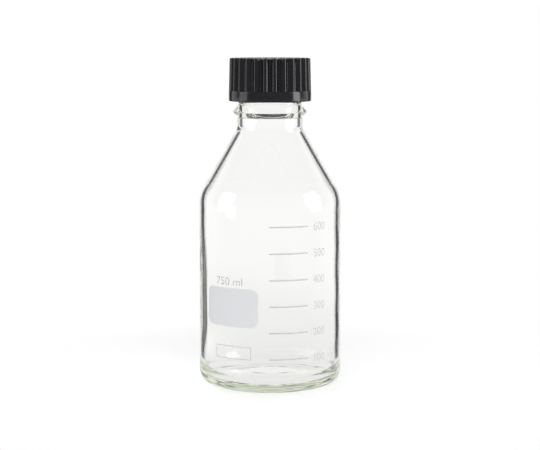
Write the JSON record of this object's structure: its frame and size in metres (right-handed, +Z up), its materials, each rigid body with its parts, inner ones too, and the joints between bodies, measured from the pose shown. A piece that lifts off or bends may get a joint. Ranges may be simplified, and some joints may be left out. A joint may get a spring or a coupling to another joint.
{
  "type": "reagent bottle",
  "caption": "Clear glass laboratory bottle with a sloping shoulder, beaded neck, ribbed black screw cap, sealing liner and pouring ring; the cap unscrews along the neck's axis.",
  "frame": {"origin": "centre of the ring the bottle stands on, on the plane of the surface under it", "axes": "+Z up along the bottle's axis, graduations facing -Y, +X to the right seen from the graduated side"},
  "size_m": [0.093, 0.093, 0.2127],
  "materials": {
    "clear_glass": "clear polished borosilicate glass",
    "ring_plastic": "smooth natural plastic",
    "facing_white": "smooth white inert facing",
    "seal_silicone": "soft matt silicone",
    "cap_black": "satin moulded black plastic",
    "print_enamel": "thin white enamel fired onto the glass"
  },
  "bodies": {
    "bottle": {"glass_bottle": "clear_glass", "pouring_ring": "ring_plastic"},
    "seal": {"seal_disc": "seal_silicone", "seal_facing": "facing_white"},
    "cap": {"screw_cap": "cap_black"}
  },
  "joints": [
    {"name": "seal_lift", "type": "slide", "parent": "bottle", "child": "seal", "axis": [0, 0, 1], "range_m": [0, 0.012]},
    {"name": "cap_turn", "type": "hinge", "parent": "seal", "child": "cap", "pos_m": [0, 0, 0.2127], "axis": [0, 0, 1], "range_deg": [0, 1080]}
  ],
  "couplings": [
    {"joint": "seal_lift", "follows": "cap_turn", "m_per_rad": 0.00063662}
  ]
}
